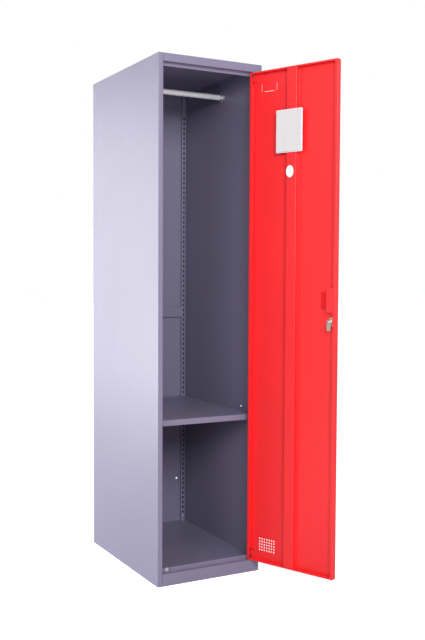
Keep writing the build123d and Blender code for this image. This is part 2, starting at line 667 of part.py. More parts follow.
for place, edge, toward in (("upper", DOOR_TOP, -1), ("lower", DOOR_BOTTOM, 1)):
    with BuildPart() as hinge_plate:
        with BuildSketch(door_section(2 * SHEET)):
            with BuildLine():
                Polyline(
                    (SHEET, edge + toward * 2 * SHEET),
                    (2 * SHEET, edge + toward * SHEET),
                    (HINGE_SHELF, edge + toward * SHEET),
                    (HINGE_SHELF, edge + toward * (SHEET + HINGE_PLATE)),
                    (SHEET + HINGE_PLATE, edge + toward * (SHEET + HINGE_PLATE)),
                    (SHEET + HINGE_PLATE, edge + toward * HINGE_TAB),
                    (SHEET, edge + toward * HINGE_TAB),
                    close=True,
                )
            make_face()
        extrude(amount=-HINGE_REACH)
        with BuildSketch(Plane.XY.offset(edge)):
            with Locations((PIVOT.X, PIVOT.Y)):
                Circle(PIN_RADIUS)
        extrude(amount=2 * PIN_INSIDE, both=True, mode=Mode.SUBTRACT)
        with BuildSketch(door_face.offset(SHEET)):
            with Locations(*[(along, edge + toward * RIVET_DROP) for along in RIVET_U]):
                Circle(RIVET_RADIUS)
        extrude(amount=2 * HINGE_PLATE, mode=Mode.SUBTRACT)
    hinge_plate.part.label = f"hinge_plate_{place}"
    export_step(hinge_plate.part, f"parts/{hinge_plate.part.label}.step")

    with BuildPart() as hinge_pin:
        with BuildSketch(Plane.XY.offset(edge + toward * PIN_INSIDE)):
            with Locations((PIVOT.X, PIVOT.Y)):
                Circle(PIN_RADIUS)
        extrude(amount=-toward * (PIN_INSIDE + PIN_OUTSIDE))
        chamfer(hinge_pin.faces().filter_by(Axis.Z).edges(), PIN_CHAMFER)
    hinge_pin.part.label = f"hinge_pin_{place}"
    export_step(hinge_pin.part, f"parts/{hinge_pin.part.label}.step")

with BuildPart() as hinge_plate_rivets:
    for edge, toward in ((DOOR_TOP, -1), (DOOR_BOTTOM, 1)):
        for along in RIVET_U:
            seat = DOOR_ORIGIN + ALONG * along + INWARD * (SHEET + HINGE_PLATE)
            seat += Vector(0, 0, edge + toward * RIVET_DROP)
            screw(seat, INWARD, ALONG, RIVET_HEAD, RIVET_DOME, HINGE_PLATE, RIVET_RADIUS)
hinge_plate_rivets.part.label = "hinge_plate_rivets"
export_step(hinge_plate_rivets.part, "parts/hinge_plate_rivets.step")

# ---------------------------------------------------------------- lock
BEZEL_RADIUS = 11.5
BEZEL = 2.5
BARREL_LENGTH = 22.5  # behind the door's outer face
NUT_WIDTH = 24
NUT_THICK = 5
STEM = 8  # square end of the plug that carries the cam
KEYWAY = (1.8, 7.5)
KEYWAY_DEPTH = 12
CAM_CORNER = 3
CAM_SCREW_HEAD = (5.5, 3)  # radius and height
CAM_SCREW_SHANK = 2
CAM_SCREW_DEPTH = 6
lock_face = Plane(origin=DOOR_ORIGIN + ALONG * LOCK_U + Vector(0, 0, LOCK_Z), x_dir=ALONG, z_dir=INWARD)

with BuildPart() as lock_barrel:
    with BuildSketch(lock_face):
        Circle(BEZEL_RADIUS)
    extrude(amount=-BEZEL)
    fillet(lock_barrel.faces().sort_by(Axis(DOOR_ORIGIN, INWARD))[0].edges(), ROUND)
    with BuildSketch(lock_face):
        Circle(BARREL_RADIUS)
    extrude(amount=BARREL_LENGTH)
    with BuildSketch(lock_face):
        Circle(PLUG_RADIUS + PLUG_FIT)
    extrude(amount=2 * BARREL_LENGTH, both=True, mode=Mode.SUBTRACT)
lock_barrel.part.label = "lock_barrel"
export_step(lock_barrel.part, "parts/lock_barrel.step")

with BuildPart() as lock_nut:
    with BuildSketch(lock_face.offset(SHEET)):
        RegularPolygon(NUT_WIDTH / 2, 6, major_radius=False, rotation=30)
        Circle(BARREL_RADIUS, mode=Mode.SUBTRACT)
    extrude(amount=NUT_THICK)
lock_nut.part.label = "lock_nut"
export_step(lock_nut.part, "parts/lock_nut.step")

with BuildPart() as lock_plug:
    with BuildSketch(lock_face.offset(-BEZEL)):
        Circle(PLUG_RADIUS)
    extrude(amount=BEZEL + CAM_DEPTH)
    with BuildSketch(lock_face.offset(CAM_DEPTH)):
        Rectangle(STEM, STEM)
    extrude(amount=CAM_THICK)
    with BuildSketch(lock_face.offset(-BEZEL)):
        Rectangle(*KEYWAY)
    extrude(amount=KEYWAY_DEPTH, mode=Mode.SUBTRACT)
    with BuildSketch(lock_face.offset(CAM_DEPTH + CAM_THICK)):
        Circle(CAM_SCREW_SHANK)
    extrude(amount=-CAM_SCREW_DEPTH, mode=Mode.SUBTRACT)
lock_plug.part.label = "lock_plug"
export_step(lock_plug.part, "parts/lock_plug.step")

with BuildPart() as lock_cam:
    with BuildSketch(lock_face.offset(CAM_DEPTH)):
        Circle(CAM_WIDTH / 2)
        Rectangle(CAM_WIDTH, CAM_REACH, align=(Align.CENTER, Align.MAX))
        Rectangle(STEM, STEM, mode=Mode.SUBTRACT)
    extrude(amount=CAM_THICK)
    tip = lock_cam.edges().filter_by(Axis(DOOR_ORIGIN, INWARD)).sort_by(Axis.Z)[:2]
    fillet(tip, CAM_CORNER)
lock_cam.part.label = "lock_cam"
export_step(lock_cam.part, "parts/lock_cam.step")

with BuildPart() as lock_cam_screw:
    screw(
        lock_face.origin + INWARD * (CAM_DEPTH + CAM_THICK),
        INWARD,
        ALONG,
        *CAM_SCREW_HEAD,
        CAM_SCREW_DEPTH,
        CAM_SCREW_SHANK,
    )
lock_cam_screw.part.label = "lock_cam_screw"
export_step(lock_cam_screw.part, "parts/lock_cam_screw.step")
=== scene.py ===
"""School locker: finishes, turned and pressed fittings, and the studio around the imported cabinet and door."""

import json
import math

import bmesh
import bpy
from mathutils import Matrix, Vector


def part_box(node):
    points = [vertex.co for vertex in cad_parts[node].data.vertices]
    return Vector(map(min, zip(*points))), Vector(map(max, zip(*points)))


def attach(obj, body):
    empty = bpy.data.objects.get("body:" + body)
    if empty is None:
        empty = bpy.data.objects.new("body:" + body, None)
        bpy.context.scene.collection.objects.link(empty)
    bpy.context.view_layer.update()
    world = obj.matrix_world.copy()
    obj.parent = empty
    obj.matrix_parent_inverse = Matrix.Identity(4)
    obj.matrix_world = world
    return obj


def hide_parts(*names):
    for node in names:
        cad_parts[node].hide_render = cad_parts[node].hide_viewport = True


bl_info = {
    "name": "School Locker",
    "version": (1, 0, 0),
    "blender": (4, 5, 0),
    "location": "View3D > Sidebar > Locker",
    "description": "Paints a folded-steel school locker and makes its fittings",
    "category": "Object",
}

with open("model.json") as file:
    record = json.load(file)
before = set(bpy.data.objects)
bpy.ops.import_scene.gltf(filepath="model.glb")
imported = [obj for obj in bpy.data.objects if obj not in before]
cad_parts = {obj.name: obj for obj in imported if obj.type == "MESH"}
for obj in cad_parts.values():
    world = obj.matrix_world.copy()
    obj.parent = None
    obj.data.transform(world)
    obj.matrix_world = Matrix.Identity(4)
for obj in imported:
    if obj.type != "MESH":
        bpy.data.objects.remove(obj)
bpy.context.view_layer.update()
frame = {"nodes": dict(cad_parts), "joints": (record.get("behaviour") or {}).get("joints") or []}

MM = 0.001
UP = Vector((0, 0, 1))
JOINTS = {joint["name"]: joint for joint in frame["joints"]}
SHEET = 1.0 * MM
SIDES = (("left", -1), ("right", 1))

# -------- places on the cabinet and the door


def door_axes():
    """Matrix of the door at rest: X from the hinge edge to the free edge, Y up, Z from the skin inwards."""
    inward = Vector(JOINTS["lock_turn"]["axis"]).normalized()
    along = UP.cross(inward) * -1
    corners = [v.co for v in frame["nodes"]["door_panel"].data.vertices]
    start = min(corner.dot(along) for corner in corners)
    skin = min(corner.dot(inward) for corner in corners)
    origin = along * start + inward * skin
    turn = Matrix((along, UP, inward)).transposed().to_4x4()
    return Matrix.Translation(origin) @ turn


DOOR = door_axes()


def box_of(points):
    """Lowest corner, highest corner and middle of some points."""
    points = list(points)
    low, high = (Vector(pick(p[i] for p in points) for i in range(3)) for pick in (min, max))
    return low, high, (low + high) / 2


def door_box(node):
    """Lowest corner, highest corner and middle of a node in the door's own axes."""
    back = DOOR.inverted()
    return box_of(back @ v.co for v in frame["nodes"][node].data.vertices)


def world_box(node):
    """Lowest corner, highest corner and middle of a node."""
    low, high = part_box(node)
    return low, high, (low + high) / 2


def on_door(along, up, depth):
    """Matrix of a place on the door, with Z pointing inwards."""
    return DOOR @ Matrix.Translation((along, up, depth))


def inwards():
    """Direction from the door's skin inwards."""
    return DOOR.to_3x3() @ UP


def facing(place, outward):
    """Matrix at a place whose Z is outward and whose Y is close to up."""
    z = Vector(outward).normalized()
    x = UP.cross(z).normalized()
    return Matrix.Translation(place) @ Matrix((x, z.cross(x), z)).transposed().to_4x4()


# -------- settings

COLOUR = {"subtype": "COLOR", "size": 3, "min": 0, "max": 1}
LENGTH = {"subtype": "DISTANCE", "unit": "LENGTH"}
POWER = {"subtype": "POWER", "unit": "POWER"}


class LockerPaint(bpy.types.PropertyGroup):
    """Powder coat of the cabinet and the door"""

    cabinet_colour: bpy.props.FloatVectorProperty(
        name="Cabinet", description="Colour of the cabinet's powder coat",
        default=(0.192, 0.177, 0.268), **COLOUR
    )
    door_colour: bpy.props.FloatVectorProperty(
        name="Door", description="Colour of the door's powder coat", default=(0.84, 0.019, 0.023), **COLOUR
    )
    roughness: bpy.props.FloatProperty(
        name="Roughness", description="Roughness of the coat", subtype="FACTOR",
        min=0, max=1, default=0.38,
    )
    peel_size: bpy.props.FloatProperty(
        name="Peel size", description="Width of the orange-peel waves", default=1.3 * MM, **LENGTH
    )
    peel_height: bpy.props.FloatProperty(
        name="Peel height", description="Height of the orange-peel waves", default=0.03 * MM, **LENGTH
    )
    mottle: bpy.props.FloatProperty(
        name="Mottle", description="How far the colour drifts over a panel", subtype="FACTOR",
        min=0, max=0.5, default=0.05,
    )


class LockerFittings(bpy.types.PropertyGroup):
    """Sizes of the repeated fittings"""

    weld_radius: bpy.props.FloatProperty(
        name="Weld radius", description="Radius of a spot weld's mark", default=2.4 * MM, **LENGTH
    )
    weld_spacing: bpy.props.FloatProperty(
        name="Weld spacing", description="Distance between spot welds", default=110 * MM, **LENGTH
    )
    thread_pitch: bpy.props.FloatProperty(
        name="Thread pitch", description="Pitch of the lock barrel's thread", default=1.25 * MM, **LENGTH
    )
    glass_bevel: bpy.props.FloatProperty(
        name="Glass bevel", description="Width of the mirror's ground edge", default=1.6 * MM, **LENGTH
    )
    turned_steps: bpy.props.IntProperty(
        name="Turned steps", description="Sides of a turned piece", min=12, max=128, default=48,
    )


class LockerStudio(bpy.types.PropertyGroup):
    """Camera, light and floor"""

    lens: bpy.props.FloatProperty(
        name="Lens", description="Focal length of the camera", subtype="DISTANCE_CAMERA",
        unit="CAMERA", default=51.27,
    )
    sky: bpy.props.FloatProperty(
        name="Sky", description="Brightness of the surroundings as a light", min=0, default=0.47,
    )
    sheen: bpy.props.FloatProperty(
        name="Sheen", description="Brightness of the surroundings in reflections", min=0, default=0.85,
    )
    front_power: bpy.props.FloatProperty(
        name="Front", description="Power of the high softbox in front", default=98.0, **POWER
    )
    left_power: bpy.props.FloatProperty(
        name="Left", description="Power of the softbox at the front left", default=20.0, **POWER
    )
    rear_power: bpy.props.FloatProperty(
        name="Rear", description="Power of the broad softbox at the rear left", default=158.0, **POWER
    )
    low_power: bpy.props.FloatProperty(
        name="Low", description="Power of the softbox near the floor at the rear left",
        default=55.0, **POWER
    )
    floor_lift: bpy.props.FloatProperty(
        name="Floor lift", description="Light added to the floor as the camera sees it", min=0, default=0.75,
    )
    floor_colour: bpy.props.FloatVectorProperty(
        name="Floor", description="Colour of the floor", default=(0.75, 0.75, 0.755), **COLOUR
    )


# -------- meshes


def finish_mesh(bm, name, sharp=math.radians(32)):
    """Closes a bmesh into a mesh whose faces point outwards and whose curved faces are smooth."""
    bmesh.ops.remove_doubles(bm, verts=bm.verts, dist=1e-7)
    bmesh.ops.recalc_face_normals(bm, faces=bm.faces)
    for face in bm.faces:
        face.smooth = True
    for edge in bm.edges:
        edge.smooth = len(edge.link_faces) == 2 and edge.calc_face_angle(0) < sharp
    mesh = bpy.data.meshes.new(name)
    bm.to_mesh(mesh)
    bm.free()
    return mesh


def rounded(points, radius, steps=3):
    """Outline with its corners rounded, from (x, y), or (x, y, radius) for a corner's own radius."""
    outline = []
    count = len(points)
    for i, point in enumerate(points):
        corner = Vector(point[:2])
        reach = point[2] if len(point) > 2 else radius
        if reach <= 0:
            outline.append(corner)
            continue
        before = (Vector(points[i - 1][:2]) - corner).normalized()
        after = (Vector(points[(i + 1) % count][:2]) - corner).normalized()
        half = before.angle(after) / 2
        centre = corner + (before + after).normalized() * (reach / math.sin(half))
        first = corner + before * (reach / math.tan(half))
        last = corner + after * (reach / math.tan(half))
        start = math.atan2(*(first - centre).yx)
        sweep = math.remainder(math.atan2(*(last - centre).yx) - start, math.tau)
        for step in range(steps + 1):
            angle = start + sweep * step / steps
            outline.append(centre + Vector((math.cos(angle), math.sin(angle))) * reach)
    return outline


def lathe(profile, steps, ring=False):
    """Turned solid about Z from (radius, height) points: from axis to axis, or a closed loop for a ring."""
    bm = bmesh.new()
    rows = []
    for radius, height in profile:
        if radius < 1e-9:
            rows.append([bm.verts.new((0, 0, height))])
            continue
        angles = [math.tau * i / steps for i in range(steps)]
        rows.append([bm.verts.new((radius * math.cos(a), radius * math.sin(a), height)) for a in angles])
    pairs = list(zip(rows, rows[1:] + rows[:1])) if ring else list(zip(rows, rows[1:]))
    for low, high in pairs:
        for i in range(steps):
            j = (i + 1) % steps
            corners = [low[i % len(low)], low[j % len(low)], high[j % len(high)], high[i % len(high)]]
            distinct = list(dict.fromkeys(corners))
            if len(distinct) > 2:
                bm.faces.new(distinct)
    return bm


def slab(outline, thickness, bevel=0.0, segments=3):
    """Flat plate on Z = 0 from an outline, with its edges softened."""
    bm = bmesh.new()
    base = bm.faces.new([bm.verts.new((x, y, 0)) for x, y in outline])
    raised = bmesh.ops.extrude_face_region(bm, geom=[base])["geom"]
    top = [part for part in raised if isinstance(part, bmesh.types.BMVert)]
    bmesh.ops.translate(bm, verts=top, vec=(0, 0, thickness))
    bmesh.ops.recalc_face_normals(bm, faces=bm.faces)
    if bevel > 0:
        rims = [edge for edge in bm.edges if edge.calc_face_angle(0) > math.radians(50)]
        bmesh.ops.bevel(bm, geom=rims, offset=bevel, segments=segments, profile=0.5, affect="EDGES")
    return bm


def turned(name, profile, steps=None, ring=False):
    """Turned mesh, with as many sides as the settings say unless steps are given."""
    return finish_mesh(lathe(profile, steps or bpy.context.scene.locker_fittings.turned_steps, ring), name)


def plate(name, outline, thickness, bevel=0.0):
    """Flat mesh from an outline."""
    return finish_mesh(slab(outline, thickness, bevel), name)


def stack(layers):
    """Closed solid through (outline, height) layers from the bottom up, all with as many points."""
    bm = bmesh.new()
    rings = [[bm.verts.new((x, y, height)) for x, y in outline] for outline, height in layers]
    bm.faces.new(rings[0][::-1])
    bm.faces.new(rings[-1])
    for low, high in zip(rings, rings[1:]):
        for i in range(len(low)):
            j = (i + 1) % len(low)
            bm.faces.new((low[i], low[j], high[j], high[i]))
    return bm


def oblong(width, height, radius, steps=6):
    """Outline of a rounded rectangle about the middle."""
    x, y = width / 2, height / 2
    return rounded([(-x, -y), (x, -y), (x, y), (-x, y)], radius, steps)


def temporary(mesh):
    """An object for a mesh, in the scene until it has been used."""
    obj = bpy.data.objects.new(mesh.name, mesh)
    bpy.context.scene.collection.objects.link(obj)
    return obj


def evaluated(obj, name):
    """The mesh of an object with its modifiers applied. The object itself is removed."""
    bpy.context.view_layer.update()
    depsgraph = bpy.context.evaluated_depsgraph_get()
    mesh = bpy.data.meshes.new_from_object(obj.evaluated_get(depsgraph))
    mesh.name = name
    bpy.data.objects.remove(obj)
    return mesh


def carved(mesh, cutters, operation="DIFFERENCE"):
    """A mesh with closed cutters taken out of it, or cut down to them."""
    body = temporary(mesh)
    tools = [temporary(cutter) for cutter in cutters]
    for tool in tools:
        boolean = body.modifiers.new("carve", "BOOLEAN")
        boolean.operation = operation
        boolean.solver = "EXACT"
        boolean.object = tool
    result = evaluated(body, mesh.name)
    for tool in tools:
        bpy.data.objects.remove(tool)
    bm = bmesh.new()
    bm.from_mesh(result)
    return finish_mesh(bm, mesh.name)


def moved(mesh, matrix):
    """The same mesh, carried to its place."""
    mesh.transform(matrix)
    return mesh


def joined(meshes, name):
    """Several meshes as one."""
    bm = bmesh.new()
    for mesh in meshes:
        bm.from_mesh(mesh)
    mesh = bpy.data.meshes.new(name)
    bm.to_mesh(mesh)
    bm.free()
    return mesh


def add_piece(name, mesh, body, slot, node=None, look=None):
    """Puts a mesh in the scene as a piece that rides on a body, in place of a node if one is named."""
    mesh.name = name
    mesh.materials.clear()
    mesh.materials.append(material(look or slot))
    piece = bpy.data.objects.new(name, mesh)
    bpy.context.scene.collection.objects.link(piece)
    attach(piece, body)
    if node:
        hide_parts(node)


# -------- geometry node trees


def feed(tree, source, socket):
    """Feeds a socket with a value, from another socket or from a node's first output."""
    if isinstance(source, bpy.types.Node):
        source = source.outputs[0]
    if isinstance(source, bpy.types.NodeSocket):
        tree.links.new(source, socket)
    else:
        socket.default_value = source


def add_node(tree, kind, inputs=(), **settings):
    """Node of a kind with its settings, and its inputs fed from (socket, source) pairs."""
    node = tree.nodes.new(kind)
    for key, value in settings.items():
        setattr(node, key, value)
    for socket, source in inputs:
        feed(tree, source, node.inputs[socket])
    return node


def new_tree(name, inputs):
    """Node tree and its given sockets: a geometry, the inputs as (name, kind, default), and a material."""
    tree = bpy.data.node_groups.new(name, "GeometryNodeTree")
    for way in ("INPUT", "OUTPUT"):
        tree.interface.new_socket("Geometry", in_out=way, socket_type="NodeSocketGeometry")
    for label, kind, default in (*inputs, ("Material", "Material", None)):
        socket = tree.interface.new_socket(label, in_out="INPUT", socket_type=f"NodeSocket{kind}")
        if default is not None:
            socket.default_value = default
    return tree, tree.nodes.new("NodeGroupInput").outputs


def close_tree(tree, given, geometry):
    """Ends a tree in Realize Instances and Set Material."""
    real = add_node(tree, "GeometryNodeRealizeInstances", [("Geometry", geometry)])
    inputs = [("Geometry", real), ("Material", given["Material"])]
    painted = add_node(tree, "GeometryNodeSetMaterial", inputs)
    add_node(tree, "NodeGroupOutput", [("Geometry", painted)])
    return tree


def set_on_points(tree, given, points, shape, **placing):
    """Ends a tree by setting a shape on every point, turned and scaled as placing says."""
    inputs = [("Points", points), ("Instance", shape), *placing.items()]
    return close_tree(tree, given, add_node(tree, "GeometryNodeInstanceOnPoints", inputs))


def shape_of(tree, given_object):
    """Geometry of an object that a tree is given."""
    return add_node(tree, "GeometryNodeObjectInfo", [("Object", given_object)]).outputs["Geometry"]


def turned_to(tree, direction):
    """Rotation that turns Z to a direction."""
    return add_node(tree, "FunctionNodeAlignRotationToVector", [("Vector", direction)], axis="Z")


def circle(tree, sides, radius):
    """Circle of straight sides."""
    return add_node(tree, "GeometryNodeCurvePrimitiveCircle", [("Resolution", sides), ("Radius", radius)])


def wire(tree, path, section, caps=False):
    """Solid wire along a path."""
    inputs = [("Curve", path), ("Profile Curve", section), ("Fill Caps", caps)]
    return add_node(tree, "GeometryNodeCurveToMesh", inputs)


def fastener_tree():
    """Sets a fastener on every point, turned to the point's outward direction and by a random spin."""
    tree, given = new_tree(
        "Fasteners", [("Fastener", "Object", None), ("Spin", "Float", math.pi), ("Seed", "Int", 7)]
    )
    outward = add_node(
        tree, "GeometryNodeInputNamedAttribute", [("Name", "outward")], data_type="FLOAT_VECTOR"
    )
    chance = add_node(tree, "FunctionNodeRandomValue", [("Seed", given["Seed"])], data_type="FLOAT")
    angle = add_node(
        tree, "ShaderNodeMath", [(0, chance.outputs[1]), (1, given["Spin"])], operation="MULTIPLY"
    )
    about = add_node(tree, "FunctionNodeAxisAngleToRotation", [("Axis", (0, 0, 1)), ("Angle", angle)])
    rotation = add_node(
        tree, "FunctionNodeRotateRotation",
        [("Rotation", turned_to(tree, outward)), ("Rotate By", about)], rotation_space="LOCAL",
    )
    shape = shape_of(tree, given["Fastener"])
    return set_on_points(tree, given, given["Geometry"], shape, Rotation=rotation)


def row_tree():
    """Sets marks at an even spacing along a line, all facing outward."""
    tree, given = new_tree(
        "Weld Row",
        [
            ("Start", "Vector", (0.0, 0.0, 0.0)), ("End", "Vector", (0.0, 0.0, 1.0)),
            ("Outward", "Vector", (0.0, 0.0, 1.0)), ("Spacing", "Float", 0.1), ("Radius", "Float", 0.0025),
            ("Mark", "Object", None),
        ],
    )
    line = add_node(
        tree, "GeometryNodeCurvePrimitiveLine", [(end, given[end]) for end in ("Start", "End")]
    )
    points = add_node(
        tree, "GeometryNodeCurveToPoints", [("Curve", line), ("Length", given["Spacing"])], mode="LENGTH"
    )
    size = add_node(tree, "ShaderNodeCombineXYZ", [(axis, given["Radius"]) for axis in "XYZ"])
    rotation = turned_to(tree, given["Outward"])
    return set_on_points(
        tree, given, points, shape_of(tree, given["Mark"]), Rotation=rotation, Scale=size
    )


def grid_tree():
    """Sets a rim round every hole of a grid in the XY plane."""
    tree, given = new_tree(
        "Vent Rims",
        [
            ("Columns", "Int", 7), ("Rows", "Int", 5), ("Width", "Float", 0.06), ("Height", "Float", 0.04),
            ("Rim Middle", "Float", 0.003), ("Rim Radius", "Float", 0.0002),
        ],
    )
    sizes = (("Size X", "Width"), ("Size Y", "Height"), ("Vertices X", "Columns"), ("Vertices Y", "Rows"))
    grid = add_node(tree, "GeometryNodeMeshGrid", [(socket, given[label]) for socket, label in sizes])
    rim = wire(tree, circle(tree, 20, given["Rim Middle"]), circle(tree, 6, given["Rim Radius"]))
    return set_on_points(tree, given, grid, rim)


def thread_tree():
    """Winds a screw thread up Z."""
    sizes = (("Radius", 0.009), ("Length", 0.015), ("Pitch", 0.00125), ("Depth", 0.0006))
    tree, given = new_tree("Thread", [(label, "Float", size) for label, size in sizes])
    turns = add_node(
        tree, "ShaderNodeMath", [(0, given["Length"]), (1, given["Pitch"])], operation="DIVIDE"
    )
    helix = add_node(
        tree, "GeometryNodeCurveSpiral",
        [
            ("Resolution", 32), ("Rotations", turns), ("Start Radius", given["Radius"]),
            ("End Radius", given["Radius"]), ("Height", given["Length"]),
        ],
    )
    return close_tree(tree, given, wire(tree, helix, circle(tree, 4, given["Depth"]), caps=True))


def grown(tree, name, values, points=None):
    """The mesh that a tree makes with these input values, starting from a mesh of points if it needs one."""
    seed = temporary(points or bpy.data.meshes.new(name))
    modifier = seed.modifiers.new("tree", "NODES")
    modifier.node_group = tree
    sockets = {item.name: item.identifier for item in tree.interface.items_tree if item.in_out == "INPUT"}
    for label, value in values.items():
        modifier[sockets[label]] = value
    return evaluated(seed, name)


def fastener_points(places):
    """Mesh of points with an outward direction each, from (place, outward) pairs."""
    mesh = bpy.data.meshes.new("points")
    mesh.from_pydata([place for place, _ in places], [], [])
    outward = mesh.attributes.new("outward", "FLOAT_VECTOR", "POINT")
    for item, (_, direction) in zip(outward.data, places):
        item.vector = direction
    return mesh


def add_fasteners(name, shape, places, seed, body, slot, node):
    """Adds like fasteners as one piece, each at its (place, outward) and spun by chance."""
    pattern = temporary(shape)
    values = {"Fastener": pattern, "Spin": math.pi, "Seed": seed, "Material": material(slot)}
    mesh = grown(fastener_tree(), name, values, fastener_points(places))
    bpy.data.objects.remove(pattern)
    add_piece(name, mesh, body, slot, node)


def add_welds(name, body, slot, rows):
    """Adds the spot welds along several lines, given as (start, end, outward), as one piece."""
    fittings = bpy.context.scene.locker_fittings
    dish = [(0, 0.012), (0.45, 0.012), (0.62, 0.05), (0.8, 0.055), (1.0, 0.0), (0.0, -0.02)]
    mark = temporary(turned("weld_mark", dish, 14))
    tree = row_tree()
    meshes = []
    for start, end, outward in rows:
        values = {
            "Start": start, "End": end, "Outward": outward, "Spacing": fittings.weld_spacing,
            "Radius": fittings.weld_radius, "Mark": mark, "Material": material(slot),
        }
        meshes.append(grown(tree, name, values))
    bpy.data.objects.remove(mark)
    add_piece(name, joined(meshes, name), body, slot)


# -------- finishes


class Finish:
    """A material whose patterns are read from the piece's own coordinates."""

    def __init__(self, name, colour, **constants):
        self.material = bpy.data.materials.new(name)
        self.material.use_nodes = True
        self.tree = self.material.node_tree
        self.tree.nodes.clear()
        self.shader = self.tree.nodes.new("ShaderNodeBsdfPrincipled")
        output = self.tree.nodes.new("ShaderNodeOutputMaterial")
        self.tree.links.new(self.shader.outputs["BSDF"], output.inputs["Surface"])
        self.place = self.tree.nodes.new("ShaderNodeTexCoord").outputs["Object"]
        self.shader.inputs["Base Color"].default_value = (*colour, 1)
        for socket, value in constants.items():
            self.shader.inputs[socket.replace("_", " ").title().replace("Ior", "IOR")].default_value = value
        self.bumps = None

    def noise(self, size, detail=2.0, stretch=(1, 1, 1), turn=(0, 0, 0)):
        """Noise whose waves are about a size wide, longer along an axis where stretch is under 1."""
        placed = add_node(
            self.tree, "ShaderNodeMapping", [("Vector", self.place), ("Scale", stretch), ("Rotation", turn)]
        )
        inputs = [("Vector", placed), ("Scale", 1 / size), ("Detail", detail)]
        return add_node(self.tree, "ShaderNodeTexNoise", inputs)

    def ranged(self, source, low, high, start=0.3, end=0.7):
        """A pattern brought to run from low to high."""
        limits = zip(("From Min", "From Max", "To Min", "To Max"), (start, end, low, high))
        return add_node(self.tree, "ShaderNodeMapRange", [("Value", source), *limits])

    def mixed(self, share, first, second):
        """Two colours mixed by a pattern."""
        colours = [c if isinstance(c, bpy.types.NodeSocket) else (*c, 1) for c in (first, second)]
        sockets = zip((0, 6, 7), (share, *colours))
        return add_node(self.tree, "ShaderNodeMix", sockets, data_type="RGBA").outputs[2]

    def times(self, first, second):
        """Product of two patterns."""
        return add_node(self.tree, "ShaderNodeMath", [(0, first), (1, second)], operation="MULTIPLY")

    def within(self, ranges):
        """1 inside a box and its mirror image across the YZ plane, and 0 outside, from (axis, low, high)."""
        parts = add_node(self.tree, "ShaderNodeSeparateXYZ", [("Vector", self.place)])
        inside = 1.0
        for axis, low, high in ranges:
            size = add_node(self.tree, "ShaderNodeMath", [(0, parts.outputs[axis])], operation="ABSOLUTE")
            limits = [(0, size), (1, (low + high) / 2), (2, (high - low) / 2)]
            close = add_node(self.tree, "ShaderNodeMath", limits, operation="COMPARE")
            inside = self.times(close, inside)
        return inside

    def give(self, socket, source):
        """Feeds one of the shader's sockets from a pattern."""
        feed(self.tree, source, self.shader.inputs[socket])

    def bump(self, source, height):
        """Raises the surface by a pattern, over any bump given before."""
        before = [("Normal", self.bumps)] if self.bumps else []
        inputs = [("Height", source), ("Distance", height), *before]
        self.bumps = add_node(self.tree, "ShaderNodeBump", inputs)
        self.give("Normal", self.bumps)


def shade(colour, factor):
    """A colour made darker or lighter."""
    return tuple(min(1.0, channel * factor) for channel in colour)


def powder_coat(name, colour, scuffed=False, painted_shade_box=()):
    """Semi-gloss powder coat: orange peel, drifting colour, slightly wavy sheet, painted shade in a given box.
    """
    paint = bpy.context.scene.locker_paint
    coat = Finish(name, colour, roughness=paint.roughness, ior=1.5)
    drift = coat.noise(0.35, detail=3)
    grain = coat.noise(paint.peel_size, detail=1)
    speck = coat.noise(4 * paint.peel_size, detail=2)
    pale, deep = shade(colour, 1 + paint.mottle), shade(colour, 1 - paint.mottle)
    base = coat.mixed(coat.ranged(drift, 0, 1), deep, pale)
    base = coat.mixed(coat.ranged(speck, 0, 0.5), base, shade(colour, 1 - paint.mottle / 2))
    rough = coat.ranged(speck, paint.roughness - 0.05, paint.roughness + 0.06)
    # Painted shade: the box and its mirror image are darkened to 12 % to stand in for the shadow seen through
    # the slots.
    if painted_shade_box:
        base = coat.mixed(coat.within(painted_shade_box), base, shade(colour, 0.12))
    if scuffed:
        rubs = coat.noise(0.012, detail=4, stretch=(1, 0.08, 1), turn=(0, 0, 0.5))
        where = coat.ranged(coat.noise(0.16, detail=2), 0, 1, 0.48, 0.62)
        rubs = coat.times(coat.ranged(rubs, 0, 0.35, 0.56, 0.72), where)
        base = coat.mixed(rubs, base, shade(colour, 1.7))
    coat.give("Base Color", base)
    coat.give("Roughness", rough)
    coat.bump(coat.noise(0.22, detail=1), 0.35 * MM)
    coat.bump(grain, paint.peel_height)
    return coat.material


def drawn_chrome(name, colour):
    """Bright tube, drawn lengthways along X and rubbed round by hangers."""
    chrome = Finish(name, colour, metallic=0.15, roughness=0.55, ior=1.9)
    drawn = chrome.noise(0.9 * MM, detail=3, stretch=(0.01, 1, 1))
    rubs = chrome.noise(1.6 * MM, detail=4, stretch=(1, 0.03, 0.03))
    rubbed = chrome.ranged(rubs, 0, 1, 0.55, 0.75)
    chrome.give("Base Color", chrome.mixed(rubbed, colour, shade(colour, 0.86)))
    chrome.give("Roughness", chrome.ranged(drawn, 0.5, 0.6))
    chrome.bump(drawn, 0.01 * MM)
    return chrome.material


def zinc(name, colour, roughness=0.34):
    """Zinc plate or die casting: fine pitting and a cloudy sheen."""
    plate = Finish(name, colour, metallic=1.0, roughness=roughness)
    cloud = plate.noise(3 * MM, detail=3)
    pits = plate.noise(0.4 * MM, detail=2)
    plate.give("Base Color", plate.mixed(plate.ranged(cloud, 0, 1), shade(colour, 0.82), shade(colour, 1.1)))
    plate.give("Roughness", plate.ranged(cloud, roughness - 0.08, roughness + 0.12))
    plate.bump(pits, 0.02 * MM)
    return plate.material


